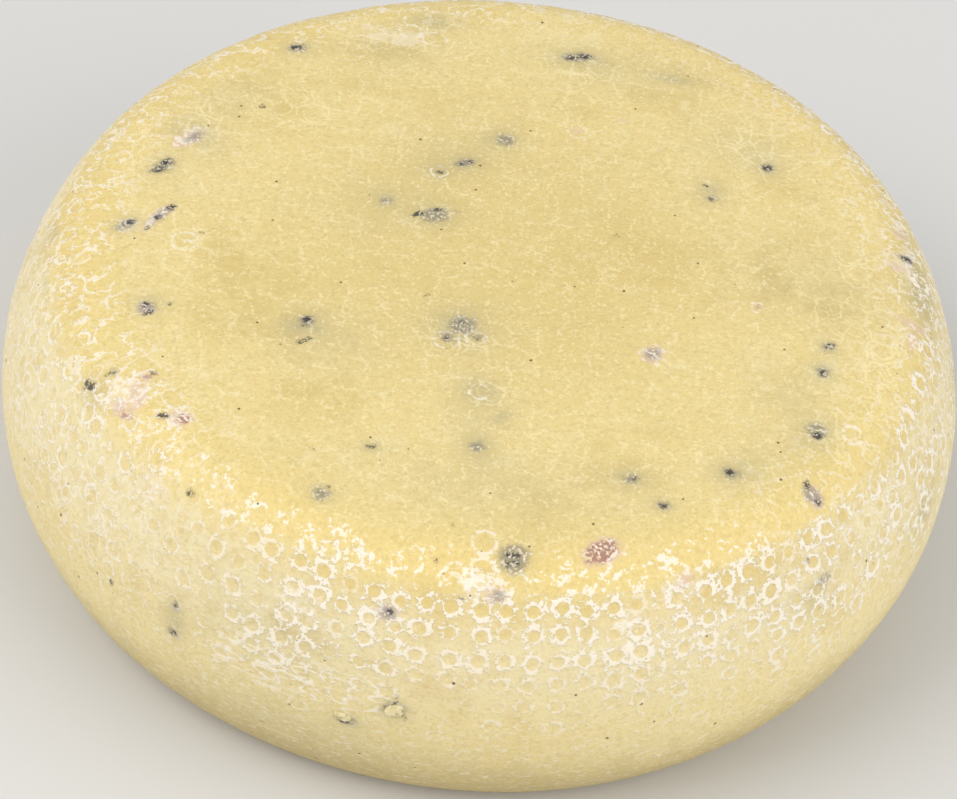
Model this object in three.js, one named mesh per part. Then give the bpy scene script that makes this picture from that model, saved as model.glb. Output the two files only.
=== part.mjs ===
// A whole round cheese: one low wheel with a bulging side, a soft shoulder and a nearly flat top.
// Millimetres, +Z up. The origin is the middle of the base it rests on.
import * as THREE from "three";

// Driving dimensions
const diameter = 180; // across the widest part of the side
const height = 63; // from the base to the middle of the top face
const girthHeight = 31; // from the base to the widest part of the side
const sideRadius = 45; // the side's bulge
const shoulderRadius = 12; // the edge between the side and the top face
const heelRadius = 9; // the edge between the side and the underside
const crownRadius = 1700; // the slight dome of the top face

// Slight waves round the side, left by draining and turning: waves in a turn, depth, angle of a crest
const sideWaves = [
  { count: 2, depth: 1.1, crest: 33 },
  { count: 3, depth: 0.55, crest: -48 },
  { count: 4, depth: 0.15, crest: -37 },
  { count: 5, depth: 0.15, crest: -6 },
];

// Facets: steps round the wheel, and along each stretch of its outline
const sectors = 96;
const steps = { foot: 3, heel: 6, side: 14, shoulder: 7, crown: 8 };

const rindColour = "#e9d59c";

// The middle of a circle of the given radius that lies inside two larger ones and touches both.
function nestledCentre(lower, upper, radius) {
  const between = upper.centre.clone().sub(lower.centre);
  const gap = between.length();
  const toLower = lower.radius - radius;
  const toUpper = upper.radius - radius;
  const along = (gap ** 2 + toLower ** 2 - toUpper ** 2) / (2 * gap);
  const aside = Math.sqrt(toLower ** 2 - along ** 2);
  const direction = between.normalize();
  const outward = new THREE.Vector2(direction.y, -direction.x);
  return lower.centre.clone().addScaledVector(direction, along).addScaledVector(outward, aside);
}

// The angle at which a circle is touched from inside by one with the given centre.
function touchAngle(circle, centre) {
  return centre.clone().sub(circle.centre).angle();
}

// Points of an arc after its first one, anticlockwise.
function arcPoints(circle, start, end, count) {
  const arc = new THREE.EllipseCurve(circle.centre.x, circle.centre.y, circle.radius, circle.radius, start, end);
  return arc.getPoints(count).slice(1);
}

// The wheel's outline from the middle of the underside, round the girth, to the middle of the top face.
function wheelOutline() {
  const side = { centre: new THREE.Vector2(diameter / 2 - sideRadius, girthHeight), radius: sideRadius };
  const crown = { centre: new THREE.Vector2(0, height - crownRadius), radius: crownRadius };
  const heelReach = Math.sqrt((sideRadius - heelRadius) ** 2 - (girthHeight - heelRadius) ** 2);
  const heel = { centre: new THREE.Vector2(side.centre.x + heelReach, heelRadius), radius: heelRadius };
  const shoulder = { centre: nestledCentre(crown, side, shoulderRadius), radius: shoulderRadius };

  const under = -Math.PI / 2;
  const sideStart = touchAngle(side, heel.centre) - 2 * Math.PI;
  const sideEnd = touchAngle(side, shoulder.centre);
  const crownStart = touchAngle(crown, shoulder.centre);
  const foot = [];
  for (let i = 0; i <= steps.foot; i += 1) {
    foot.push(new THREE.Vector2((heel.centre.x * i) / steps.foot, 0));
  }
  const outline = [
    ...foot,
    ...arcPoints(heel, under, sideStart, steps.heel),
    ...arcPoints(side, sideStart, sideEnd, steps.side),
    ...arcPoints(shoulder, sideEnd, crownStart, steps.shoulder),
    ...arcPoints(crown, crownStart, Math.PI / 2, steps.crown),
  ];
  outline[outline.length - 1].x = 0;
  return outline;
}

function sideWave(angle) {
  return sideWaves.reduce(
    (sum, wave) => sum + wave.depth * Math.cos(wave.count * (angle - THREE.MathUtils.degToRad(wave.crest))),
    0,
  );
}

function wheelGeometry() {
  const geometry = new THREE.LatheGeometry(wheelOutline(), sectors);
  geometry.rotateX(Math.PI / 2);
  const places = geometry.attributes.position;
  const point = new THREE.Vector3();
  for (let i = 0; i < places.count; i += 1) {
    point.fromBufferAttribute(places, i);
    const swell = 1 + sideWave(Math.atan2(point.y, point.x)) / (diameter / 2);
    places.setXYZ(i, point.x * swell, point.y * swell, point.z);
  }
  geometry.computeBoundingBox();
  const middle = geometry.boundingBox.getCenter(new THREE.Vector3());
  geometry.translate(-middle.x, -middle.y, 0);
  geometry.computeVertexNormals();
  return geometry;
}

const rind = new THREE.MeshStandardMaterial({ color: rindColour, roughness: 0.55, metalness: 0 });
const cheeseWheel = new THREE.Mesh(wheelGeometry(), rind);
cheeseWheel.name = "cheese_wheel";

const part = new THREE.Group();
part.add(cheeseWheel);

export default part;
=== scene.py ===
import math

import bpy
import numpy as np
from mathutils import Matrix, Vector


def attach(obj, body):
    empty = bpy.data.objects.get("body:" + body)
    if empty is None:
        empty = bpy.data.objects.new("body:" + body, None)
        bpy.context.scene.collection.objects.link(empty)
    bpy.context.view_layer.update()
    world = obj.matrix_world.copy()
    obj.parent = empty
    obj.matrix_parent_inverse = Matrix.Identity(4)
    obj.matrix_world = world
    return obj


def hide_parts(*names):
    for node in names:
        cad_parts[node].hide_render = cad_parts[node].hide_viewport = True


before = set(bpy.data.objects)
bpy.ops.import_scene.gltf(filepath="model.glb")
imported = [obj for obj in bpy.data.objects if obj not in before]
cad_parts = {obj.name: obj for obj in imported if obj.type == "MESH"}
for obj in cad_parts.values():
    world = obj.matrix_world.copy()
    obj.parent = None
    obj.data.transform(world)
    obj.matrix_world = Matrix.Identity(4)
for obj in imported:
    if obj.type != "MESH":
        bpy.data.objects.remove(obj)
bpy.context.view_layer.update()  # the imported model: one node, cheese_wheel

mm = 0.001

# where the camera stands
view = {
    "elevation": 44.17,  # degrees above the floor
    "roll": 7.578,  # degrees that the camera leans
    "distance": 675,  # mm from the aim
    "aim": (-0.04, -4.03, 27.65),  # mm, the point in the middle of the picture
    "lens": 133.08,  # mm
    "sensor": 36,  # mm wide
    "sees": 20,  # metres, how far away
}


def setCamera():
    rise = math.radians(view["elevation"])
    lean = math.radians(view["roll"])
    back = Vector((0, -math.cos(rise), math.sin(rise)))
    level = Vector((1, 0, 0))
    upright = back.cross(level)
    across = level * math.cos(lean) + upright * math.sin(lean)
    upward = upright * math.cos(lean) - level * math.sin(lean)
    lensData = bpy.data.cameras.new("studioCamera")
    lensData.lens = view["lens"]
    lensData.sensor_width = view["sensor"]
    lensData.clip_end = view["sees"]
    camera = bpy.data.objects.new("studioCamera", lensData)
    turned = Matrix((across, upward, back)).transposed().to_4x4()
    place = (Vector(view["aim"]) + back * view["distance"]) * mm
    camera.matrix_world = Matrix.Translation(place) @ turned
    bpy.context.scene.collection.objects.link(camera)
    bpy.context.scene.camera = camera


setCamera()
print("stage: camera set")


class Wire:
    # the value of one socket; sums of wires add Math nodes
    def __init__(self, bench, socket):
        self.bench = bench
        self.socket = socket

    def __add__(self, other):
        return self.bench.sum("ADD", self, other)

    def __radd__(self, other):
        return self.bench.sum("ADD", other, self)

    def __sub__(self, other):
        return self.bench.sum("SUBTRACT", self, other)

    def __rsub__(self, other):
        return self.bench.sum("SUBTRACT", other, self)

    def __mul__(self, other):
        return self.bench.sum("MULTIPLY", self, other)

    def __rmul__(self, other):
        return self.bench.sum("MULTIPLY", other, self)

    def __truediv__(self, other):
        return self.bench.sum("DIVIDE", self, other)

    def __rtruediv__(self, other):
        return self.bench.sum("DIVIDE", other, self)

    def __abs__(self):
        return self.bench.sum("ABSOLUTE", self)

    def __gt__(self, other):
        return self.bench.sum("GREATER_THAN", self, other)

    def __lt__(self, other):
        return self.bench.sum("LESS_THAN", self, other)


class Bench:
    # one node tree, of a material or of geometry, and the place of the point being worked on, in mm
    def __init__(self, tree, source, output):
        self.tree = tree
        metres = self.node(source, output=output)
        self.place = self.vector("SCALE", metres, Scale=1 / mm)

    def node(self, kind, settings=None, sockets=None, output=0):
        made = self.tree.nodes.new(kind)
        for name, value in (settings or {}).items():
            setattr(made, name, value)
        for name, value in (sockets or {}).items():
            if isinstance(value, Wire):
                self.tree.links.new(value.socket, made.inputs[name])
            elif value is not None:
                made.inputs[name].default_value = value
        return Wire(self, made.outputs[output])

    def sum(self, operation, *values):
        return self.node("ShaderNodeMath", {"operation": operation}, dict(enumerate(values)))

    def vector(self, operation, first, second=None, **named):
        sockets = {0: first, 1: second, **named}
        return self.node("ShaderNodeVectorMath", {"operation": operation}, sockets, "Vector")

    def parts(self, vector):
        return [self.node("ShaderNodeSeparateXYZ", {}, {0: vector}, part) for part in "XYZ"]

    def join(self, x, y, z=0.0):
        return self.node("ShaderNodeCombineXYZ", {}, {0: x, 1: y, 2: z})

    def ease(self, value, low, high, bottom=0.0, top=1.0):
        # from bottom at low to top at high, with soft ends
        sockets = {"Value": value, "From Min": low, "From Max": high, "To Min": bottom, "To Max": top}
        return self.node("ShaderNodeMapRange", {"interpolation_type": "SMOOTHSTEP"}, sockets)

    def within(self, value, start, full, fading, end):
        # 0 up to start, 1 from full to fading, and 0 again from end on
        return self.ease(value, start, full) * self.ease(value, end, fading)

    def most(self, first, second):
        return self.sum("MAXIMUM", first, second)

    def least(self, first, second):
        return self.sum("MINIMUM", first, second)

    def swing(self, size, detail=2, roughness=0.5, shift=0, place=None):
        # clouds of the given size in mm, mostly from -1 to 1; another shift gives other clouds
        moved = self.vector("ADD", place or self.place, (shift, shift * 2, shift * 3))
        sockets = {"Vector": moved, "Scale": 1 / size, "Detail": detail, "Roughness": roughness}
        return (self.node("ShaderNodeTexNoise", {}, sockets) - 0.5) * 4

    def cells(self, size, feature, place=None, flat=False, loose=1.0):
        # mm to the nearest (F1) or the second nearest (F2) of points scattered about size mm apart,
        # and that point's random colour
        settings = {"feature": feature, "voronoi_dimensions": "2D" if flat else "3D"}
        sockets = {"Vector": place or self.place, "Scale": 1 / size, "Randomness": loose}
        distance = self.node("ShaderNodeTexVoronoi", settings, sockets, "Distance")
        return distance * size, Wire(self, distance.socket.node.outputs["Color"])

    def jitter(self, cell):
        # three random numbers for a cell
        return self.parts(self.node("ShaderNodeTexWhiteNoise", {}, {"Vector": cell}, "Color"))

    def tint(self, share, under, over):
        # one colour laid over another by its share
        return self.node("ShaderNodeMix", {"data_type": "RGBA"}, {0: share, 6: under, 7: over}, 2)

    def mark(self, kind):
        # the layer of the mesh that holds how near each kind of mark is
        if self.tree.type == "GEOMETRY":
            return self.node("GeometryNodeInputNamedAttribute", {"data_type": "FLOAT"}, {"Name": kind})
        return self.node("ShaderNodeAttribute", {"attribute_name": kind}, {}, "Fac")


def colour(red, green, blue):
    # a colour as seen on a screen, 0 to 255, as the linear one that sockets take
    channels = [value / 255 for value in (red, green, blue)]
    linear = [c / 12.92 if c <= 0.04045 else ((c + 0.055) / 1.055) ** 2.4 for c in channels]
    return (*linear, 1.0)


# the form of the wheel
form = {
    "radius": 90.0,  # mm, at the girth
    "height": 63.0,
    "girth": 31.0,  # height of the widest part
    "side": 45.0,  # radius of the side's bulge
    "shoulder": 12.0,  # radius of the upper edge
    "heel": 9.0,  # radius of the lower edge
    "crown": 1700.0,  # radius of the slight dome on top
    "waves": ((2, 1.1, 33), (3, 0.55, -48), (4, 0.15, -37), (5, 0.15, -6)),  # count, depth mm, crest degrees
    "fineFrom": -14,  # degrees, seen from the middle of the side's arc: finer rows begin here
    "columns": 768,
    "rows": {"heel": 5, "underGirth": 9, "side": 51, "shoulder": 15},
    "cells": 192,  # quads across the top
    "merge": 0.02,  # mm: points nearer to each other than this become one
    "even": 0.01,  # mm: how level the two rims are that are closed
    "domeDepth": 3,  # mm under the height: what is domed lies above this
    "domeEdge": 73,  # mm from the axis: and inside this
}


def outlineArcs():
    # centres and angles of the arcs that the outline follows from the foot to the top, in mm and radians
    side = Vector((form["radius"] - form["side"], form["girth"]))
    crown = Vector((0, form["height"] - form["crown"]))
    heelSpan = form["side"] - form["heel"]
    heelDrop = form["girth"] - form["heel"]
    heel = Vector((side.x + math.sqrt(heelSpan ** 2 - heelDrop ** 2), form["heel"]))
    toSide = form["side"] - form["shoulder"]
    toCrown = form["crown"] - form["shoulder"]
    between = side - crown
    along = (between.length ** 2 + toCrown ** 2 - toSide ** 2) / (2 * between.length)
    aside = math.sqrt(toCrown ** 2 - along ** 2)
    direction = between.normalized()
    shoulder = crown + direction * along + Vector((direction.y, -direction.x)) * aside
    sideStart = math.atan2(heel.y - side.y, heel.x - side.x)
    sideEnd = math.atan2(shoulder.y - side.y, shoulder.x - side.x)
    crownStart = math.atan2(shoulder.y - crown.y, shoulder.x - crown.x)
    fineFrom = math.radians(form["fineFrom"])
    rows = form["rows"]
    return (
        (heel, -math.pi / 2, sideStart, rows["heel"]),
        (side, sideStart, fineFrom, rows["underGirth"]),
        (side, fineFrom, sideEnd, rows["side"]),
        (shoulder, sideEnd, crownStart, rows["shoulder"]),
    )


def pick(piece, choose):
    # selects the points that choose(x, y, z) names, in mm, and the edges between them
    mesh = piece.data
    chosen = [choose(*(point.co / mm)) for point in mesh.vertices]
    mesh.polygons.foreach_set("select", [False] * len(mesh.polygons))
    mesh.vertices.foreach_set("select", chosen)
    ends = (edge.vertices for edge in mesh.edges)
    mesh.edges.foreach_set("select", [chosen[first] and chosen[last] for first, last in ends])


def spinWheel():
    bpy.ops.object.select_all(action="DESELECT")
    arcs = outlineArcs()
    heel = arcs[0][0]
    bpy.ops.mesh.primitive_plane_add(size=mm, location=(heel.x * mm, 0, 0))
    wheel = bpy.context.object
    wheel.name = "cheeseRind"
    bpy.ops.object.transform_apply(location=True, rotation=True, scale=True)
    bpy.ops.object.mode_set(mode="EDIT")
    bpy.ops.mesh.select_mode(type="VERT")
    bpy.ops.mesh.select_all(action="SELECT")
    bpy.ops.mesh.merge(type="CENTER")
    for centre, start, end, rows in arcs:
        middle = (centre.x * mm, 0, centre.y * mm)
        bpy.ops.mesh.spin(steps=rows, angle=end - start, center=middle, axis=(0, 1, 0))
    bpy.ops.mesh.select_all(action="SELECT")
    bpy.ops.mesh.spin(steps=form["columns"], angle=2 * math.pi, center=(0, 0, 0), axis=(0, 0, 1))
    bpy.ops.mesh.select_all(action="SELECT")
    bpy.ops.mesh.remove_doubles(threshold=form["merge"] * mm)
    bpy.ops.object.mode_set(mode="OBJECT")
    lip = max(point.co.z for point in wheel.data.vertices) / mm
    for level, closing in ((lip, "top"), (0, "foot")):
        pick(wheel, lambda x, y, z: abs(z - level) < form["even"])
        bpy.ops.object.mode_set(mode="EDIT")
        bpy.ops.mesh.select_mode(type="EDGE")
        if closing == "top":
            bpy.ops.mesh.fill_grid(span=form["cells"])
        else:
            bpy.ops.mesh.edge_face_add()
        bpy.ops.object.mode_set(mode="OBJECT")
    bpy.ops.object.mode_set(mode="EDIT")
    bpy.ops.mesh.select_all(action="SELECT")
    bpy.ops.mesh.normals_make_consistent(inside=False)
    bpy.ops.object.mode_set(mode="OBJECT")
    bpy.ops.object.shade_smooth()
    return wheel


def shapeWith(piece, name, movePoint):
    # moves every point by a geometry node tree that movePoint(bench) wires, and applies it
    tree = bpy.data.node_groups.new(name, "GeometryNodeTree")
    tree.interface.new_socket("Geometry", in_out="INPUT", socket_type="NodeSocketGeometry")
    tree.interface.new_socket("Geometry", in_out="OUTPUT", socket_type="NodeSocketGeometry")
    bench = Bench(tree, "GeometryNodeInputPosition", 0)
    entering = bench.node("NodeGroupInput")
    moved = bench.node("GeometryNodeSetPosition", {}, {"Geometry": entering, **movePoint(bench)})
    leaving = tree.nodes.new("NodeGroupOutput")
    tree.links.new(moved.socket, leaving.inputs[0])
    modifier = piece.modifiers.new(name, "NODES")
    modifier.node_group = tree
    bpy.context.view_layer.objects.active = piece
    bpy.ops.object.modifier_apply(modifier=name)


def settledPlace(bench):
    # the true round wheel becomes the slightly uneven one, and its top is domed
    x, y, z = bench.parts(bench.place)
    turn = bench.sum("ARCTAN2", y, x)
    swell = 1.0
    for count, depth, crest in form["waves"]:
        swell = swell + bench.sum("COSINE", (turn - math.radians(crest)) * count) * (depth / form["radius"])
    outSquared = x * x + y * y
    domed = bench.sum("SQRT", form["crown"] ** 2 - outSquared) + (form["height"] - form["crown"])
    onTop = (z > form["height"] - form["domeDepth"]) * (outSquared < form["domeEdge"] ** 2)
    height = z + (domed - z) * onTop
    return {"Position": bench.vector("SCALE", bench.join(x * swell, y * swell, height), Scale=mm)}


def recentre(piece):
    # puts the middle of the piece's box over the origin, and says where the old origin went, in mm
    corners = [Vector(corner) for corner in piece.bound_box]
    lowest, highest = corners[0], corners[6]
    middle = (lowest + highest) / 2
    bpy.ops.object.mode_set(mode="EDIT")
    bpy.ops.mesh.select_all(action="SELECT")
    bpy.ops.transform.translate(value=(-middle.x, -middle.y, 0))
    bpy.ops.object.mode_set(mode="OBJECT")
    return Vector((-middle.x, -middle.y)) / mm


wheel = spinWheel()
shapeWith(wheel, "settle", settledPlace)
axis = recentre(wheel)  # mm, where the wheel's own axis stands
print("stage: wheel spun,", len(wheel.data.polygons), "faces")

# truffle and other marks in the rind: two numbers for the place, the length and width in mm, and the lean
# of the long side in degrees; the place is x and y in mm on the top, and on the side it is turn in degrees
# and climb in mm
marks = {
    "truffleAndShadow": {
        "top": (
            (9.2, 60.0, 3.0, 1.5, 20), (11.8, 61.0, 3.2, 2.0, 0), (-44.4, 52.2, 2.4, 1.7, 30),
            (-48.5, 32.5, 1.4, 1.3, 0), (-9.6, 22.6, 1.8, 1.2, 30), (-7.4, 23.6, 1.9, 1.2, 20),
            (-13.0, 19.4, 1.5, 1.4, 0), (-15.7, 6.8, 3.2, 1.5, 38), (-12.4, 8.7, 2.4, 1.0, 20),
            (-8.6, 8.9, 1.2, 0.9, 0), (-64.0, 13.2, 3.0, 1.6, 60), (-65.2, 10.8, 2.8, 1.6, 40),
            (-61.0, 0.6, 2.2, 1.6, 60), (-63.0, -2.8, 1.8, 1.5, 60), (-64.6, -6.0, 1.5, 1.1, 60),
            (-67.9, -4.7, 3.0, 1.3, 38), (-61.6, -26.0, 1.8, 1.5, 60), (-60.8, -28.2, 2.1, 1.4, 30),
            (-32.4, -25.2, 2.2, 1.8, 70), (-32.6, -26.9, 1.6, 1.2, 0), (-32.8, -31.1, 2.6, 1.4, 32),
            (-31.6, -30.0, 1.4, 1.1, 0), (-4.9, -21.0, 1.5, 1.4, 0), (-7.2, -25.5, 1.6, 1.2, 20),
            (-1.7, -24.7, 1.3, 1.1, 30), (-11.8, -15.0, 1.4, 1.0, 40), (-17.6, -54.5, 2.0, 1.1, 0),
            (-23.5, -65.4, 1.3, 1.0, 60), (8.4, -74.9, 1.5, 1.2, 20), (28.8, -53.7, 1.5, 1.1, 20),
            (34.0, -59.0, 1.7, 1.4, 0), (45.2, -48.8, 2.1, 1.8, 0), (59.0, -48.6, 1.5, 2.0, 10),
            (61.2, -50.8, 1.3, 1.4, 0), (60.4, -36.6, 2.0, 1.8, 20), (61.2, -20.6, 1.8, 2.0, 0),
            (62.0, -13.3, 2.1, 1.4, 30), (49.0, 34.2, 2.0, 2.1, 0), (37.5, 26.2, 1.3, 1.1, 0),
            (38.6, 22.6, 1.6, 1.2, 0), (76.4, 15.0, 1.7, 2.8, 90), (-54.2, -53.0, 1.7, 2.4, 90),
            (-69.0, -44.5, 1.8, 1.4, 80), (-65.5, -43.5, 1.4, 1.1, 0), (-57.6, -43.0, 1.4, 1.0, 40),
            (-47.0, -66.9, 1.8, 1.0, 150), (21.4, 8.0, 1.2, 1.1, 40), (-54.6, -5.6, 1.2, 1.1, 0),
            (-57.2, -25.2, 1.2, 1.1, 0), (9.9, -76.3, 1.6, 1.2, 30), (9.9, -74.8, 1.3, 1.1, 0),
            (8.5, -76.5, 1.4, 1.1, 60),
        ),
        "side": (
            (-125.3, 28.1, 2.0, 1.0, 10), (-97.2, 22.6, 1.7, 1.3, 50), (-89.3, 27.2, 1.3, 0.9, 160),
            (-122.2, 7.6, 1.5, 1.3, 120), (-122.2, 1.2, 1.6, 1.4, 0), (-131.6, 2.6, 1.0, 1.6, 0),
            (-146.8, 28.7, 1.7, 2.1, 0), (-146.4, 33.2, 1.4, 1.0, 40), (-92.9, 33.0, 1.2, 0.9, 150),
            (-91.6, 40.0, 1.3, 0.9, 130), (-44.1, 22.7, 1.1, 1.2, 0), (-116.2, 46.8, 1.2, 1.0, 0),
            # on these two lines, the marks near turn -95 are dark cracks round the first crumb, and the one
            # at turn -100.4 is painted shadow under the second crumb
            (-20.9, 13.2, 1.4, 1.2, 0), (-94.9, 4.6, 3.0, 1.0, 95), (-94.0, 1.8, 2.4, 1.0, 110),
            (-96.2, 2.6, 2.2, 0.9, 60), (-100.4, -3.5, 2.6, 1.1, 10), (-111.0, -12.6, 2.6, 1.0, -20),
        ),
    },
    "ashAndShadow": {  # grey dust of truffle round the black
        "top": (
            (10.6, 60.5, 6.4, 3.4, 12), (-44.0, 52.0, 4.0, 3.0, 10), (-8.4, 23.1, 4.6, 2.4, 28),
            (-12.8, 7.0, 6.0, 4.2, 20), (-22.0, 9.4, 2.4, 1.8, 20), (-64.4, 12.0, 5.8, 3.2, 55),
            (-68.6, -5.6, 4.8, 2.4, 36), (-61.2, -27.0, 3.8, 3.4, 60), (-32.4, -25.6, 3.0, 3.2, 70),
            (-4.7, -21.6, 5.4, 4.8, 0), (-7.0, -25.4, 3.4, 2.8, 0), (-1.6, -24.4, 2.6, 2.2, 0),
            (-1.3, 31.4, 3.6, 3.8, 0), (0.8, -51.5, 3.0, 2.8, 0), (-24.6, -66.8, 3.0, 3.6, 0),
            (9.5, -75.3, 5.8, 5.4, 20), (45.5, -49.0, 3.2, 2.8, 0), (60.3, -35.5, 3.8, 4.4, 85),
            (61.2, -20.4, 2.8, 3.0, 0), (49.0, 34.3, 2.8, 2.8, 0), (38.9, 22.6, 2.4, 1.8, 0),
            (59.9, -50.0, 3.4, 4.0, 80), (76.4, 15.0, 2.6, 4.2, 90), (28.3, -53.9, 2.8, 2.0, 20),
            (30.0, -22.4, 4.0, 3.0, 60), (62.0, -13.3, 2.6, 2.2, 30), (34.0, -59.0, 2.4, 2.2, 0),
            (-62.4, -1.6, 7.4, 2.2, 64), (-59.8, 21.4, 5.0, 2.6, 56),
        ),
        "side": (
            (-97.4, 22.3, 3.4, 3.0, 20), (-122.2, 7.4, 2.2, 1.8, 0), (-122.2, 1.2, 2.6, 2.4, 0),
            (-84.9, 28.2, 2.6, 2.2, 0), (-146.4, 33.2, 2.2, 1.6, 0), (-95.0, 3.0, 4.4, 4.0, 0),
            # on the next line, the grey at turn -100.2 is painted shadow under the second crumb
            (-100.2, -2.8, 4.0, 2.4, 10), (-42.2, 17.4, 3.4, 2.0, 0), (-39.5, 31.5, 3.0, 3.0, 0),
        ),
    },
    "hoop": {  # single rings of bloom
        "top": (
            (-13.0, 19.5, 3.2, 3.2, 0), (-7.2, -26.0, 4.6, 4.0, 0), (-1.9, -24.6, 3.8, 3.4, 0),
            (-4.9, -20.9, 2.4, 2.4, 0), (-0.1, -37.9, 3.6, 3.6, 0), (-57.2, -8.3, 4.8, 4.8, 0),
            (12.0, 36.8, 3.6, 3.6, 0), (48.6, -6.1, 2.6, 2.6, 0), (66.7, -34.8, 3.2, 4.0, 0),
            (-18.0, 60.2, 4.6, 4.4, 0), (-23.0, 62.0, 4.4, 4.2, 0),
        ),
        "side": ((-87.0, 37.3, 4.2, 4.2, 0), (-87.0, 32.4, 4.0, 3.8, 0), (-90.4, 31.3, 3.6, 3.6, 0)),
    },
    "shade": {  # small grey shadows in the skin round the marks
        "top": (
            (10.5, 60.5, 10, 7, 12), (29.5, 57.5, 9, 3.5, 0), (-44, 52, 8, 6, 10), (-51, 54.5, 3, 2, 0),
            (-19, 66, 12, 7, 15), (-2, 31.5, 8, 8, 0), (-8.5, 23, 8, 5, 28), (-13, 19.5, 5, 5, 0),
            (-12, 7, 9, 7, 10), (-60, 22, 9, 14, 60), (-64.4, 12, 8, 6, 55), (-68.4, -5.5, 8, 5, 38),
            (-61, -26, 7, 6, 0), (-32.5, -27, 7, 9, 90), (-5, -22.5, 10, 10, 0), (0, -38, 7, 7, 0),
            (1, -51.5, 7, 7, 0), (4.6, -43.6, 5, 3, 50), (-17.5, -54.5, 5, 3, 10), (-24.5, -67, 5, 6, 80),
            (9.5, -75.3, 8, 7, 0), (28, -53.8, 8, 6, 0), (34, -59, 5, 4, 0), (45.5, -49, 8, 6, 20),
            (60.3, -36, 9, 8, 60), (61, -20, 6, 6, 0), (62, -14, 5, 5, 0), (49, 34, 6, 6, 0),
            (38.5, 24.5, 8, 7, 90), (-22, 9.5, 4, 4, 0),
        ),
        "side": (
            (-97.6, 22.4, 4, 4, 0), (-122, 4, 6, 9, 0), (-42.5, 17.6, 5, 3, 0), (-21, 11, 7, 5, 0),
            # on the next line, the one at turn -100 is painted shadow under the second crumb
            (-95, 2.5, 7, 6, 0), (-100, -3, 6, 4, 0), (-176, 27.6, 5, 3, 20), (-167, 26, 4, 2, 0),
            # on the next line, the two wide ones at turns 6 and 2, on the right edge, are painted shade
            (-145.5, 28.6, 8, 6, 0), (6, 31, 22, 9, 0), (2, 13, 20, 12, 0),
        ),
    },
    "hazeAndShade": {  # wide faint grey clouds
        "top": (
            (-12, 24, 22, 18, 30), (-20, 9, 24, 16, 10), (-5, -22.5, 19, 18, 0), (60, 2, 24, 34, 80),
            (-28, -30, 24, 18, 0), (-56, 33, 18, 14, 40), (44, 40, 20, 16, 0), (-26, 57, 22, 18, 0),
            (52, -45, 22, 14, 30), (55, -28, 16, 16, 0), (20, 58, 34, 14, 0), (0, -42, 14, 22, 0),
            (6, -60, 50, 18, 0),
        ),
        "side": (
            # on the side these clouds are partly painted shade: darker low at the front and along the right
            # edge
            (-108, -8, 40, 16, 0), (-20, 8, 30, 16, 0), (-44, 14, 12, 9, 0), (-110, 12, 26, 20, 0),
            (6, 31, 28, 12, 0), (-8, 2, 30, 14, 0),
        ),
    },
    "blush": {  # pinkish skin
        "top": (
            (24.2, -71.2, 8.4, 5.2, 38), (-51.4, -53.2, 4.6, 4.4, 0), (-58.6, -44.3, 3.6, 2.4, 40),
            (-61.4, -51.0, 5.6, 3.4, -40), (-63.2, -2.6, 9.4, 2.8, 62), (30.0, -22.5, 5.4, 4.2, 60),
            (48.5, -6.0, 2.1, 1.9, 0), (11.8, 37.0, 2.4, 2.2, 0), (21.0, 42.3, 2.0, 1.4, 0),
            (28.3, 35.0, 1.3, 1.1, 0), (-60.8, 20.6, 8.4, 3.8, 52), (75.4, 22.0, 2.4, 4.2, 90),
            (77.4, -3.0, 2.2, 6.4, 85), (-61.2, -27.0, 3.8, 3.4, 0), (60.4, -50.2, 3.6, 4.6, 10),
        ),
        "side": (
            (-61.4, 28.2, 4.6, 3.0, 20), (-85.2, 28.4, 4.2, 3.6, 0), (-5.0, 33.0, 8.0, 2.2, 0),
            (-97.6, 22.4, 4.0, 3.0, 0), (-141.0, 34.0, 7.0, 3.6, -30), (9.0, 35.5, 4.0, 2.2, 60),
        ),
    },
    "rust": {  # reddish brown spots
        "top": (
            (24.1, -71.3, 7.8, 4.4, 38), (-50.4, -53.4, 2.8, 3.4, 80), (-58.2, -44.0, 2.4, 1.7, 40),
            (48.5, -6.0, 1.5, 1.4, 0), (-61.0, -52.0, 4.0, 1.6, -40),
        ),
        "side": ((-143.2, 38.4, 1.6, 1.2, 0),),
    },
    "crust": {  # thick pale bloom
        "top": (
            (-52.4, -53.0, 8.0, 6.4, 20), (-60.5, -47.0, 11.0, 7.0, -35), (-60.8, 21.0, 9.0, 5.0, 52),
            (-63.2, -2.6, 10.0, 3.6, 62), (24.6, -71.0, 7.4, 4.6, 38), (-56.5, -8.5, 4.0, 3.0, 0),
            (-61.2, -27.0, 5.0, 4.2, 0), (30.0, -22.5, 6.0, 5.0, 60), (-68.4, -5.3, 5.0, 3.0, 38),
            (60.2, -50.8, 3.2, 3.6, 80),
        ),
        "side": (
            (-108.0, 19.5, 9.0, 5.0, 0), (-97.6, 22.4, 5.6, 4.6, 0), (-84.6, 29.4, 7.5, 5.0, 0),
            (-61.4, 28.2, 6.0, 4.6, 0), (-69.0, 22.0, 5.0, 4.0, 0), (-5.0, 33.0, 9.0, 3.0, 0),
        ),
    },
    "film": {  # thin bloom that veils the skin
        "top": ((-62, -47, 14, 10, -35), (-61, 21, 9, 6, 52), (-25, 60, 16, 9, 0), (76, 14, 6, 14, 0)),
        "side": (
            (-107.5, 19.5, 15, 10, -25), (-97.4, 22.3, 7, 6, 0), (-87.5, 29.5, 9, 5, 0),
            (-61.5, 26.5, 12, 8, 0), (-69, 22.5, 8, 4, 0), (-130, 24, 12, 8, 0),
        ),
    },
    "mesh": {  # where the print of the draining mat is clearest
        "top": (
            (-25.5, 61, 28, 20, 0), (-41.7, 33.3, 20, 20, 0), (10, 56, 20, 14, 0), (44, 41.7, 18, 18, 0),
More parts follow.
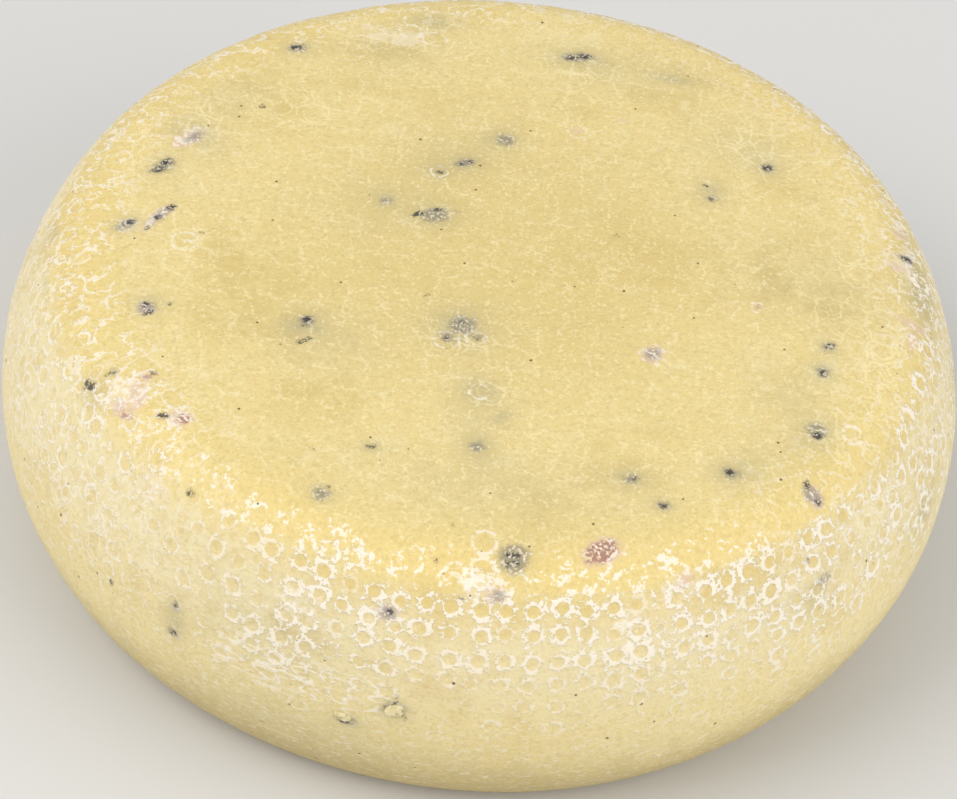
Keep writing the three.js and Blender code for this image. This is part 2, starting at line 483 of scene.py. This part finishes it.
            (-59, 26.7, 14, 20, 0), (7, 44, 9, 9, 0), (-57, -9, 18, 18, 0), (-5, -26, 14, 12, 0),
            (70, -20, 14, 50, 0), (66, 10, 12, 26, 0), (-70, 20, 12, 36, 0), (0, -38, 9, 9, 0),
        ),
        "side": ((-14, 37, 40, 12, 0),),
    },
}
layers = {
    "soft": ("shade", "hazeAndShade", "film", "mesh"),  # these fade out; the others have an edge
    "fall": 1.2,  # how fast the soft ones fade
    "farOff": -3.0,  # mm inside the edge of a mark that is nowhere near
    "otherFace": 9,  # half sizes of a mark that parts the top from the side
}


def layMarks(piece):
    # writes each kind of mark as a layer of numbers: mm inside its edge, or for the soft ones a share
    mesh = piece.data
    flat = np.empty(len(mesh.vertices) * 3)
    mesh.vertices.foreach_get("co", flat)
    x, y, z = flat.reshape(-1, 3).T / mm
    turn = np.degrees(np.arctan2(y - axis.y, x - axis.x))
    out = np.hypot(x - axis.x, y - axis.y)
    climb = np.arctan2(z - form["girth"], out - (form["radius"] - form["side"])) * form["side"]
    for kind, places in marks.items():
        soft = kind in layers["soft"]
        layer = np.full(len(x), 0.0 if soft else layers["farOff"])
        for surface in ("top", "side"):
            for first, second, length, width, lean in places[surface]:
                if surface == "top":
                    aside, above = x - first, y - second
                    missed = z < form["height"] / 2
                else:
                    aside = np.radians((turn - first + 180) % 360 - 180) * out
                    above = climb - second
                    missed = out < form["radius"] / 2
                lean = math.radians(lean)
                long = (aside * math.cos(lean) + above * math.sin(lean)) / (length / 2)
                short = (above * math.cos(lean) - aside * math.sin(lean)) / (width / 2)
                gap = np.hypot(long, short) + layers["otherFace"] * missed
                near = np.exp(-gap ** 2 * layers["fall"]) if soft else (1 - gap) * min(length, width) / 2
                layer = np.maximum(layer, near)
        attribute = mesh.attributes.new(kind, "FLOAT", "POINT")
        attribute.data.foreach_set("value", layer.astype(np.float32))


layMarks(wheel)
print("stage: marks laid")

# the imprint of the mould on the side and of the draining mat on the top
imprint = {
    "columns": 112,  # rings round the wheel
    "firstColumn": -62.575,  # degrees, the middle of a ring
    "seam": -65.15,  # degrees, where the mould's seam puts the rings out of step
    "slip": 0.53,  # of a ring, at that seam
    "seamWander": ((1.1, 0.6), (2.7, 0.35)),  # radians for each mm of climb, and degrees that it strays
    "seamGap": (0.05, 0.3),  # degrees from the seam: the rings are cut off nearer, and whole further away
    "cutOff": 3,  # mm that a point there is moved away from its ring
    "backSeam": 110,  # degrees, the other seam
    "rowPitch": 4.75,  # mm
    "firstRow": 25.5,  # mm up the side from the girth, the middle of the upper full row where it is lowest
    "rise": 5.4,  # mm that the rows climb towards the far side
    "riseRight": (-55, 25),  # degrees where that climb begins and ends
    "riseLeft": (-95, -160),
    "rowSway": (0.19, 0.16, 0.07),  # radians for each degree of turn and mm of climb, share of a pitch
    "columnSway": (0.27, -0.21, 0.06),
    "looseLeft": (-105, -140, 0.2, 0.38),  # degrees, and the shares of a pitch that single rings stray there
    "looseRight": (-50, -20, 0.0, 0.1),
    "seed": 3.0,
    "ringRadius": 1.6,  # mm, to the middle of the rim
    "ringSizes": (0.9, 0.22),  # the smallest ring, and how much the largest adds to it
    "hole": 1.14,  # mm, radius of the bare middle of a ring
    "frill": 0.66,  # mm, how wide the torn bloom round it is on the plainest rings
    "leastFrill": 0.4,
    "matPitch": 5.0,  # mm
    "matRing": 2.0,  # mm, radius of the mat's whole rings
    "matLoose": 0.7,  # how far the mat's cells stray, from 0 to 1
}


def wheelPlace(bench):
    # turn in degrees, climb in mm up the side from the girth, distance from the axis in mm
    x, y, z = bench.parts(bench.place)
    x = x - axis.x
    y = y - axis.y
    out = bench.sum("SQRT", x * x + y * y)
    turn = bench.sum("ARCTAN2", y, x) * (180 / math.pi)
    bulge = bench.sum("ARCTAN2", z - form["girth"], out - (form["radius"] - form["side"]))
    return turn - 360 * (turn > imprint["backSeam"]), bulge * form["side"], out


def sway(bench, turn, climb, byTurn, byClimb, share):
    # the mould was never quite even
    return bench.sum("SINE", turn * byTurn + climb * byClimb) * share


def sideRings(bench, turn, climb, out):
    # distance in mm from the middle of the nearest ring, a random number of that ring, and its row
    pitch = 360 / imprint["columns"]
    pastSeam = turn - imprint["seam"]
    for pace, stray in imprint["seamWander"]:
        pastSeam = pastSeam + bench.sum("SINE", climb * pace) * stray
    column = (turn - imprint["firstColumn"]) / pitch + imprint["slip"] * (pastSeam < 0)
    column = column + sway(bench, turn, climb, *imprint["columnSway"])
    rise = bench.ease(turn, *imprint["riseRight"]) + bench.ease(turn, *imprint["riseLeft"])
    row = (imprint["firstRow"] + rise * imprint["rise"] - climb) / imprint["rowPitch"]
    row = row + sway(bench, turn, climb, *imprint["rowSway"])
    nearColumn = bench.sum("ROUND", column)
    nearRow = bench.sum("ROUND", row)
    first, second, luck = bench.jitter(bench.join(nearColumn, nearRow, imprint["seed"]))
    loose = bench.ease(turn, *imprint["looseLeft"]) + bench.ease(turn, *imprint["looseRight"])
    aside = (column - nearColumn + (first - 0.5) * loose) * out * math.radians(pitch)
    above = (row - nearRow + (second - 0.5) * loose) * imprint["rowPitch"]
    smallest, spread = imprint["ringSizes"]
    reach = bench.sum("SQRT", aside * aside + above * above) / (smallest + luck * spread)
    offSeam = bench.ease(abs(pastSeam), *imprint["seamGap"])
    return reach + (1 - offSeam) * imprint["cutOff"], luck, row


# the low relief of the skin
relief = {
    "rim": 0.12,  # mm proud
    "rimShape": (0.0, 0.9, 1.0, 0.0),  # mm from its crest, and the shares of its height there
    "dimple": 0.18,  # mm deep
    "dimpleShape": (0.2, 1.4, 1.0, 0.0),  # mm from the middle of a ring, and the shares of its depth there
    "pressed": (0.55, 0.6),  # the faintest ring, and how much the deepest adds to it
    "upperEdge": (-0.9, -0.4),  # rows, counted down from the upper full one, where the rings fade in
    "lowerEdge": (-6, 14, 0.25, 1.0),  # mm of climb, and the shares of their height there
    "dents": ((24, 0.16, 0), (7, 0.05, 9)),  # size and depth in mm, shift
    "truffleAndShadow": 0.14,  # mm that the grains in it stand up
    "crust": 0.1,  # mm
    "heelEdge": (-29, -22),  # mm of climb, where all of it fades in
}


def reliefPlace(bench):
    # rims and dimples on the side, slow dents all over, rough spots of truffle and crust
    turn, climb, out = wheelPlace(bench)
    reach, luck, row = sideRings(bench, turn, climb, out)
    rim = bench.ease(abs(reach - imprint["ringRadius"]), *relief["rimShape"]) * relief["rim"]
    dimple = bench.ease(reach, *relief["dimpleShape"]) * relief["dimple"]
    faintest, spread = relief["pressed"]
    band = bench.ease(row, *relief["upperEdge"]) * bench.ease(climb, *relief["lowerEdge"])
    height = (rim - dimple) * band * (faintest + luck * spread)
    for size, depth, shift in relief["dents"]:
        height = height + bench.swing(size, shift=shift) * depth
    rough = bench.ease(bench.mark("truffleAndShadow"), -0.5, 0.6) * bench.swing(1.6, detail=1, shift=4)
    crusty = bench.ease(bench.mark("crust"), -0.6, 0.8) * (bench.swing(1.7, detail=1, shift=15) + 0.5)
    height = height + rough * relief["truffleAndShadow"] + crusty * relief["crust"]
    height = height * bench.ease(climb, *relief["heelEdge"])
    normal = bench.node("GeometryNodeInputNormal")
    return {"Offset": bench.vector("SCALE", normal, Scale=height * mm)}


shapeWith(wheel, "relief", reliefPlace)
print("stage: relief pressed in")

# the finish of the rind: colours as seen on a screen, then how it takes the light
rind = {
    "top": (229, 208, 144),
    "topDeep": (217, 194, 127),
    "topPale": (234, 217, 161),
    "strip": (231, 207, 136),
    "side": (233, 218, 173),
    "sideDeep": (222, 202, 148),
    "belly": (235, 215, 151),
    # the foot's darker brown: partly the rind's own colour, partly painted shade
    "low": (190, 170, 110),
    "thread": (246, 231, 182),
    "cream": (243, 233, 213),
    "film": (236, 221, 190),
    "hollow": (222, 197, 128),
    "pit": (198, 176, 116),
    # the haze colour is also the painted shade on the side
    "hazeAndShade": (174, 166, 130),
    # the ash and truffle colours also paint the shadow under the second crumb
    "ashAndShadow": (118, 115, 112),
    "truffleAndShadow": (52, 50, 54),
    "blush": (218, 188, 174),
    "rust": (166, 121, 110),
    "speck": (96, 66, 26),
    "roughness": 0.5,
    "refraction": 1.4,
    "glow": 0.1,  # share of the light that goes in and comes out again
    "glowDepth": 0.003,  # metres
    "glowColour": (1.0, 0.7, 0.3),  # how deep red, green and blue go, as shares of that
}
# the noises that its patterns are made of: size in mm, detail, roughness and shift
noises = {
    "drift": (24, 1, 0.5, 0),
    "dapple": (6, 2, 0.6, 7),
    "patchy": (4.2, 1, 0.5, 43),
    "curl": (2.2, 2, 0.6, 11),
    "tatter": (1.35, 2, 0.6, 21),
    "fine": (0.7, 1, 0.65, 1),
}
# where its looks lie, in degrees of turn or mm of climb: each comes in from the first number to the second,
# and those with four numbers go out again from the third to the fourth
where = {
    "front": (-118, -104, -50, -36),
    "right": (-58, -42),
    "left": (-112, -130),
    "back": (60, 104),
    "halfUp": (-6, 12),
    "highUp": (4, 27),
    "fused": (-82, -72, -58, -38),  # bloom that fills the gaps between the rings
    "ridged": (-121, -113, -100, -92),  # thick ridges of bloom
    "ridgedClimb": (2, 8, 18, 27),
    "singles": (-80, -88),  # rings above the upper full row
    "tan": (18, 24, 26, 30),
    "net": (31, 36),
    "islands": (-152, -116, -62, -40),
    "islandsClimb": (26, 30, 32, 38),
    "strokesLeft": (-112, -142),
    "strokesUpper": (24, 29),
    "strokesLower": (-10, 12),
    "strokesEnd": (45, 35),
    "creases": (-119, -115, -98, -95),
    "creasesClimb": (-3, 1, 7, 10),
    "streaks": (-34, -20),
    "middle": (52, 18),  # mm from the axis
    "strip": (27, 31, 33, 45),
    "side": (30, 22),
    "belly": (14, -2),
    "low": (-4, -24),
    "boldHoops": (46, 40),
}
# the same, each with the shares that it goes from and to
shares = {
    "ringsClimb": (-16, 6, 0.12, 1.0),
    "strokesRight": (-30, 10, 0.0, 0.8),
    "strokesRightEnd": (60, 20, 0.3, 1.0),
    "strip": (-20, -60, 0.6, 1.0),
    "hollow": (0, 26, 0.12, 0.42),
    "pit": (24, 32, 0.32, 0.38),
    "thread": (24, 32, 0.4, 0.62),
}


def clouds(bench):
    return {name: bench.swing(*settings) for name, settings in noises.items()}


def zones(bench, turn):
    # the shares of the front, of its right side and of its left side, which goes on round the back
    back = bench.ease(turn, *where["back"])
    return {
        "front": bench.within(turn, *where["front"]),
        "right": bench.ease(turn, *where["right"]) * (1 - back),
        "left": bench.most(bench.ease(turn, *where["left"]), back),
        "back": back,
    }


def ringBloom(bench, cloud, zone, turn, climb, out):
    # pale bloom round the rings of the side: a clean inner edge and a torn frill that thins outwards
    front, right, left = zone["front"], zone["right"], zone["left"]
    reach, luck, row = sideRings(bench, turn, climb, out)
    highUp = bench.ease(climb, *where["highUp"])
    halfUp = bench.ease(climb, *where["halfUp"])
    crest = bench.ease(row, -0.5, -0.7)  # the loose row above the upper full one
    fused = halfUp * bench.within(turn, *where["fused"])
    ridged = bench.within(turn, *where["ridged"]) * bench.within(climb, *where["ridgedClimb"])
    hole = imprint["hole"] + left * 0.16 + right * 0.06
    frill = imprint["frill"] + highUp * (front + left * 0.1) + halfUp * right * 0.72
    frill = frill + fused * 0.45 + ridged * 0.5 + (luck - 0.5) * 0.8 - crest * 0.3
    frill = bench.most(frill, imprint["leastFrill"])
    torn = cloud["tatter"] * 0.65 + cloud["fine"] * 0.6 + cloud["patchy"] * 0.4
    lace = 1 - (reach - hole) / frill + torn
    inner = bench.ease(reach + cloud["fine"] * 0.12, hole - 0.12, hole + 0.14)
    bloom = inner * bench.ease(lace, 0.35, 0.72)
    kept = bench.ease(luck, 0.4, 0.6) * bench.ease(row, -1.6, -1.4) * bench.ease(turn, *where["singles"])
    band = 1 - crest + crest * front * kept
    band = band * bench.ease(luck, 0.0, 0.2, 0.4, 1.0) * bench.ease(climb, *shares["ringsClimb"])
    vivid = 0.46 + highUp * front * 0.52 + halfUp * (right * 0.54 + left * 0.3) + fused * 0.16
    vivid = vivid + ridged * 0.32 + cloud["patchy"] * 0.14
    hollow = bench.ease(reach, hole + 0.2, hole - 0.3) * (1 - crest) * (1 + right * halfUp * 0.4)
    tan = bench.within(climb, *where["tan"]) * front
    return bloom * band * vivid, hollow, tan


def matPrint(bench, cloud, climb):
    # a faint broken net of rounded cells on the top, with whole rings where the print is clearest
    aside = cloud["dapple"] * 0.6 + cloud["tatter"] * 0.36
    above = cloud["patchy"] * 0.6 - cloud["tatter"] * 0.36
    place = bench.vector("ADD", bench.place, bench.join(aside, above))
    net = {"place": place, "flat": True, "loose": imprint["matLoose"]}
    nearest = bench.cells(imprint["matPitch"], "F1", **net)[0]
    second = bench.cells(imprint["matPitch"], "F2", **net)[0]
    clear = bench.mark("mesh")
    wall = bench.ease(second - nearest + cloud["fine"] * 0.25, 0.6, 0.16)
    circle = bench.ease(abs(nearest - imprint["matRing"] + cloud["fine"] * 0.1), 0.34, 0.1) * clear
    kept = bench.ease(cloud["patchy"] * 0.6 + cloud["fine"] * 0.7 + clear * 0.7, -0.3, 0.9)
    lines = bench.most(wall, circle) * kept * (0.46 + clear * 0.2)
    beside = bench.ease(second - nearest, 1.3, 0.2) * 0.9  # grains gather along the net
    grains = bench.ease(cloud["fine"] * 0.9 + cloud["tatter"] * 0.45 + beside, 0.95, 1.3)
    return bench.most(lines, grains * 0.48) * bench.ease(climb, *where["net"])


def threadPrint(bench, cloud):
    # fine curling threads and grains of bloom all over
    kept = bench.ease(cloud["patchy"] + cloud["fine"] * 0.6, -0.6, 0.9)
    threads = bench.ease(abs(cloud["curl"]), 0.13, 0.03) * kept
    grains = bench.ease(cloud["tatter"] * 0.7 + cloud["fine"] * 0.9, 0.4, 1.05)
    return bench.least(threads * 0.7 + grains * 0.5, 1)


def islands(bench, cloud, turn, climb):
    # bright torn pieces of bloom above the upper row
    torn = cloud["tatter"] * 0.8 + cloud["patchy"] * 0.5 + cloud["fine"] * 0.35
    area = bench.within(climb, *where["islandsClimb"]) * bench.within(turn, *where["islands"])
    return bench.ease(torn + area * 0.35, 0.62, 0.78) * bench.ease(area, 0.1, 0.5)


def strokes(bench, cloud, zone, turn, climb):
    # ragged strokes along the rest of the shoulder, which run down the side as a thin net
    stroke = bench.ease(abs(cloud["patchy"] + cloud["tatter"] * 0.3 + cloud["fine"] * 0.12), 0.16, 0.06)
    stroke = stroke * bench.ease(cloud["tatter"] * 0.7 + cloud["dapple"] * 0.6, -0.45, 0.05)
    leftward = bench.most(bench.ease(turn, *where["strokesLeft"]), zone["back"])
    rightward = bench.ease(turn, *shares["strokesRight"]) * bench.ease(turn, *shares["strokesRightEnd"])
    upper = bench.most(leftward, rightward) * bench.ease(climb, *where["strokesUpper"])
    lower = bench.most(leftward * 0.78, zone["right"] * 0.56) * bench.ease(climb, *where["strokesLower"])
    return stroke * bench.most(upper, lower) * bench.ease(climb, *where["strokesEnd"]) * 0.9


def lowBloom(bench, cloud, zone, turn, climb):
    # creases low at the front left, and streaks all round under the rings
    torn = cloud["fine"] * 0.5
    level = bench.vector("MULTIPLY", bench.place, (1, 1, 3))  # for patterns three times as wide as high
    crease = bench.ease(abs(bench.swing(7, detail=1, place=level, shift=37)), 0.2, 0.06)
    crease = crease * bench.ease(cloud["tatter"] * 0.7 + torn, -0.7, 0.05)
    crease = crease * bench.within(climb, *where["creasesClimb"]) * bench.within(turn, *where["creases"])
    streak = bench.ease(bench.swing(1.7, detail=1, place=level, shift=66), 0.3, 0.75)
    streak = streak * bench.ease(cloud["tatter"] + torn, -0.7, 0.3)
    streak = streak * bench.ease(climb, zone["right"] * 6 + 10, -6) * bench.ease(climb, *where["streaks"])
    return bench.most(crease * 0.95, streak * 0.6)


def paint(bench, skin, share, name):
    # lays one of the rind's colours over the skin
    return bench.tint(share, skin, colour(*rind[name]))


def bareSkin(bench, cloud, zone, turn, climb, out):
    # yellow on top, yellower just inside the shoulder, paler down the side and browner at the foot, where
    # the darker brown is partly painted shade
    drift, dapple = cloud["drift"], cloud["dapple"]
    top = paint(bench, colour(*rind["top"]), bench.ease(drift + dapple * 0.6, 0.0, 1.3), "topDeep")
    top = paint(bench, top, bench.ease(dapple - drift * 0.4, 0.2, 1.4), "topPale")
    top = paint(bench, top, bench.ease(out, *where["middle"]) * 0.6, "topDeep")
    strip = bench.within(climb, *where["strip"]) * bench.ease(turn, *shares["strip"])
    skin = paint(bench, top, strip * bench.ease(drift, -1.2, 0.6, 0.5, 1.0), "strip")
    side = paint(bench, colour(*rind["side"]), bench.ease(dapple + drift, -0.3, 1.2), "sideDeep")
    skin = bench.tint(bench.ease(climb + dapple, *where["side"]), skin, side)
    down = climb + dapple * 3 - zone["right"] * 5  # the low colours reach further up on the right
    skin = paint(bench, skin, bench.ease(down, *where["belly"]) * 0.7, "belly")
    # the foot darkens: partly the rind's browner colour, partly painted shade
    return paint(bench, skin, bench.ease(down, *where["low"]) * 0.85, "low")


def markedSkin(bench, cloud, climb, skin):
    # blush, hoops, crust, rust, ash and truffle, each with a torn edge and pale grains in it, and fine dots
    tatter, fine = cloud["tatter"], cloud["fine"]
    torn = tatter + fine * 0.5
    grain = bench.ease(fine, 0.0, 0.6)
    blush = bench.ease(bench.mark("blush") + torn * 0.5, -0.4, 0.7)
    skin = paint(bench, skin, blush * (0.62 - grain * 0.3), "blush")
    skin = paint(bench, skin, bench.ease(bench.mark("hoop"), 0.2, 0.6) * 0.25, "hollow")
    line = abs(bench.mark("hoop") + tatter * 0.2 + fine * 0.1)
    bold = bench.ease(climb, *where["boldHoops"])  # the hoops on the shoulder are thicker than those on top
    hoop = bench.ease(line, bold * 0.14 + 0.3, 0.12)
    hoop = hoop * bench.ease(tatter + fine * 0.6, -0.5, bold * -0.4 + 0.5)
    crust = bench.ease(torn + bench.least(bench.mark("crust"), 1) * 0.5, 0.3, 0.8)
    crust = bench.most(crust * bench.ease(bench.mark("crust"), -0.8, 0.4), hoop) * 0.74
    skin = paint(bench, skin, crust, "cream")
    rust = bench.ease(bench.mark("rust") + torn * 0.5, -0.2, 0.6)
    skin = paint(bench, skin, rust * bench.ease(tatter * 0.5 + fine, 0.5, -0.3, 0.05, 0.9), "rust")
    # ash and truffle also lay the painted shadow under the second crumb
    ashAndShadow = bench.ease(bench.mark("ashAndShadow") + torn * 0.4, -0.6, 0.9)
    skin = paint(bench, skin, ashAndShadow * (0.62 - grain * 0.45), "ashAndShadow")
    skin = paint(bench, skin, ashAndShadow * grain * 0.45, "cream")
    truffleAndShadow = bench.ease(bench.mark("truffleAndShadow") + tatter * 0.3 + fine * 0.4, -0.2, 0.3)
    skin = paint(bench, skin, truffleAndShadow * (0.9 - grain * 0.7), "truffleAndShadow")
    dots, shade = bench.cells(5.0, "F1")
    dots = bench.ease(dots + tatter * 0.1, 0.34, 0.18) * (bench.parts(shade)[0] > 0.35)
    return paint(bench, skin, dots * 0.85, "speck"), truffleAndShadow


def rindMaterial():
    material = bpy.data.materials.new("cheeseRind")
    material.use_nodes = True
    tree = material.node_tree
    tree.nodes.clear()
    bench = Bench(tree, "ShaderNodeTexCoord", "Object")
    turn, climb, out = wheelPlace(bench)
    zone = zones(bench, turn)
    cloud = clouds(bench)
    dapple, tatter, fine = cloud["dapple"], cloud["tatter"], cloud["fine"]
    skin = bareSkin(bench, cloud, zone, turn, climb, out)

    # what darkens it: the hollows of the rings, the grey clouds and small pits; on the side some grey clouds
    # are painted shade
    bloom, hollow, tan = ringBloom(bench, cloud, zone, turn, climb, out)
    skin = paint(bench, skin, tan * 0.35 + hollow * bench.ease(climb, *shares["hollow"]), "hollow")
    hazeAndShade = bench.mark("hazeAndShade") * (0.22 + dapple * 0.1) + bench.mark("shade") * (0.5 + tatter * 0.2)
    skin = paint(bench, skin, bench.least(hazeAndShade, 1), "hazeAndShade")
    pits = bench.ease(tatter * 0.5 + fine * 0.6, 0.1, -0.8) * bench.ease(climb, *shares["pit"])
    skin = paint(bench, skin, pits, "pit")

    # the bloom: threads and the mat's net yellowish, the thick bloom nearly white
    threads = threadPrint(bench, cloud) * bench.ease(climb, *shares["thread"])
    threads = bench.least(bench.most(matPrint(bench, cloud, climb), threads), 1)
    skin = paint(bench, skin, threads, "thread")
    film = bench.ease(bench.mark("film") + cloud["patchy"] * 0.25 + tatter * 0.45, 0.35, 0.95)
    skin = paint(bench, skin, film * 0.6, "film")
    cream = bench.most(islands(bench, cloud, turn, climb), strokes(bench, cloud, zone, turn, climb)) * 0.95
    cream = bench.most(cream, lowBloom(bench, cloud, zone, turn, climb))
    cream = bench.least(bench.most(bloom, cream), 1)
    skin = paint(bench, skin, cream, "cream")

    skin, truffleAndShadow = markedSkin(bench, cloud, climb, skin)
    height = bloom * 0.1 - truffleAndShadow * 0.08 + tatter * 0.045 + fine * 0.03
    bump = bench.node("ShaderNodeBump", {}, {"Height": height, "Strength": 1.0, "Distance": mm})
    rough = rind["roughness"] + cream * 0.12 + dapple * 0.03
    sockets = {"Base Color": skin, "Roughness": rough, "Normal": bump, "IOR": rind["refraction"]}
    sockets["Subsurface Weight"] = rind["glow"]
    sockets["Subsurface Scale"] = rind["glowDepth"]
    sockets["Subsurface Radius"] = rind["glowColour"]
    surface = bench.node("ShaderNodeBsdfPrincipled", {}, sockets)
    ending = tree.nodes.new("ShaderNodeOutputMaterial")
    tree.links.new(surface.socket, ending.inputs["Surface"])
    return material


wheel.data.materials.append(rindMaterial())
print("stage: rind finished")

# chips of rind that stand up from the side
crumbs = {
    "places": (
        # turn in degrees, climb, length, width and thickness in mm, lean in degrees, seed
        (-94.9, 2.6, 3.6, 2.8, 1.5, 20, 3),
        (-100.6, -2.0, 3.2, 1.8, 1.4, -12, 8),
    ),
    "rough": 0.2,  # mm that its corners wander
    "cut": 0.28,  # of its thickness, how high it is cut off
    "cutLean": (0.1, 0.05, 1),
    "bevel": 0.08,  # mm
    "grain": 1.1,  # mm, size of its patches of colour
    "grainDepth": 0.05,  # mm
    "colour": (226, 211, 160),
    "edge": (243, 231, 192),
    "shadow": (150, 138, 100),
    "roughness": 0.6,
}


def addCrumb(turn, climb, length, width, thickness, lean, seed):
    # a flattened, cornered scrap that lies half sunk in the skin
    angle = math.radians(turn)
    bulge = climb / form["side"]
    out = form["radius"] - form["side"] + form["side"] * math.cos(bulge)
    height = form["girth"] + form["side"] * math.sin(bulge)
    guess = Vector((out * math.cos(angle) + axis.x, out * math.sin(angle) + axis.y, height)) * mm
    seat, normal = wheel.closest_point_on_mesh(guess)[1:3]
    bpy.ops.object.select_all(action="DESELECT")
    bpy.ops.mesh.primitive_ico_sphere_add(subdivisions=2, radius=0.5 * mm, location=(0, 0, 0))
    crumb = bpy.context.object
    crumb.scale = (length, width, thickness)
    bpy.ops.object.transform_apply(location=False, rotation=False, scale=True)
    bpy.ops.object.mode_set(mode="EDIT")
    bpy.ops.mesh.select_all(action="SELECT")
    bpy.ops.transform.vertex_random(offset=crumbs["rough"] * mm, uniform=1.0, normal=0.0, seed=seed)
    cut = (0, 0, crumbs["cut"] * thickness * mm)
    bpy.ops.mesh.bisect(plane_co=cut, plane_no=crumbs["cutLean"], use_fill=True, clear_outer=True)
    bpy.ops.object.mode_set(mode="OBJECT")
    bevel = crumb.modifiers.new("edges", "BEVEL")
    bevel.width = crumbs["bevel"] * mm
    bevel.segments = 2
    bpy.ops.object.modifier_apply(modifier="edges")
    crumb.rotation_mode = "QUATERNION"
    crumb.rotation_quaternion = normal.to_track_quat("Z", "Y")
    crumb.rotation_quaternion.rotate(Matrix.Rotation(math.radians(lean), 3, normal))
    crumb.location = seat
    bpy.ops.object.transform_apply(location=True, rotation=True, scale=True)
    return crumb


def crumbMaterial():
    material = bpy.data.materials.new("rindCrumbs")
    material.use_nodes = True
    tree = material.node_tree
    tree.nodes.clear()
    bench = Bench(tree, "ShaderNodeTexCoord", "Object")
    worn = bench.swing(crumbs["grain"])
    skin = bench.tint(bench.ease(worn, 0.0, 0.9), colour(*crumbs["colour"]), colour(*crumbs["edge"]))
    skin = bench.tint(bench.ease(worn, -0.3, -0.9) * 0.7, skin, colour(*crumbs["shadow"]))
    height = worn * crumbs["grainDepth"]
    bump = bench.node("ShaderNodeBump", {}, {"Height": height, "Strength": 1.0, "Distance": mm})
    sockets = {"Base Color": skin, "Roughness": crumbs["roughness"], "Normal": bump}
    surface = bench.node("ShaderNodeBsdfPrincipled", {}, sockets)
    ending = tree.nodes.new("ShaderNodeOutputMaterial")
    tree.links.new(surface.socket, ending.inputs["Surface"])
    return material


def addCrumbs():
    made = [addCrumb(*place) for place in crumbs["places"]]
    bpy.ops.object.select_all(action="DESELECT")
    for crumb in made:
        crumb.select_set(True)
    bpy.context.view_layer.objects.active = made[0]
    bpy.ops.object.join()
    made[0].name = "rindCrumbs"
    made[0].data.materials.append(crumbMaterial())
    return made[0]


scraps = addCrumbs()
print("stage: crumbs laid")

# the floor and the light
studio = {
    "floorSize": 8,  # metres
    "floorColour": (216, 215, 213),
    "floorRoughness": 0.9,
    "world": 0.62,
    "aim": (0, 0, 0.03),  # metres, where the lights point
    "lights": (
        # name, place in metres, size in metres, watts
        ("key", (-1.05, -0.5, 1.2), 1.2, 14.1),
        ("fill", (1.1, -0.55, 0.7), 1.2, 8.8),
    ),
}


def buildStudio():
    bpy.ops.object.select_all(action="DESELECT")
    bpy.ops.mesh.primitive_plane_add(size=studio["floorSize"], location=(0, 0, 0))
    floor = bpy.context.object
    floor.name = "studioFloor"
    material = bpy.data.materials.new("studioFloor")
    material.use_nodes = True
    principled = material.node_tree.nodes["Principled BSDF"]
    principled.inputs["Base Color"].default_value = colour(*studio["floorColour"])
    principled.inputs["Roughness"].default_value = studio["floorRoughness"]
    floor.data.materials.append(material)
    world = bpy.data.worlds.new("studio")
    world.use_nodes = True
    world.node_tree.nodes["Background"].inputs["Color"].default_value = (1, 1, 1, 1)
    world.node_tree.nodes["Background"].inputs["Strength"].default_value = studio["world"]
    bpy.context.scene.world = world
    for name, place, size, watts in studio["lights"]:
        lamp = bpy.data.lights.new(name, "AREA")
        lamp.size = size
        lamp.energy = watts
        lampObject = bpy.data.objects.new(name, lamp)
        lampObject.location = place
        shining = Vector(studio["aim"]) - Vector(place)
        lampObject.rotation_euler = shining.to_track_quat("-Z", "Y").to_euler()
        bpy.context.scene.collection.objects.link(lampObject)
    bpy.context.scene.view_settings.view_transform = "Standard"


buildStudio()
print("stage: studio set")

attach(wheel, "root")
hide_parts("cheese_wheel")
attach(scraps, "root")
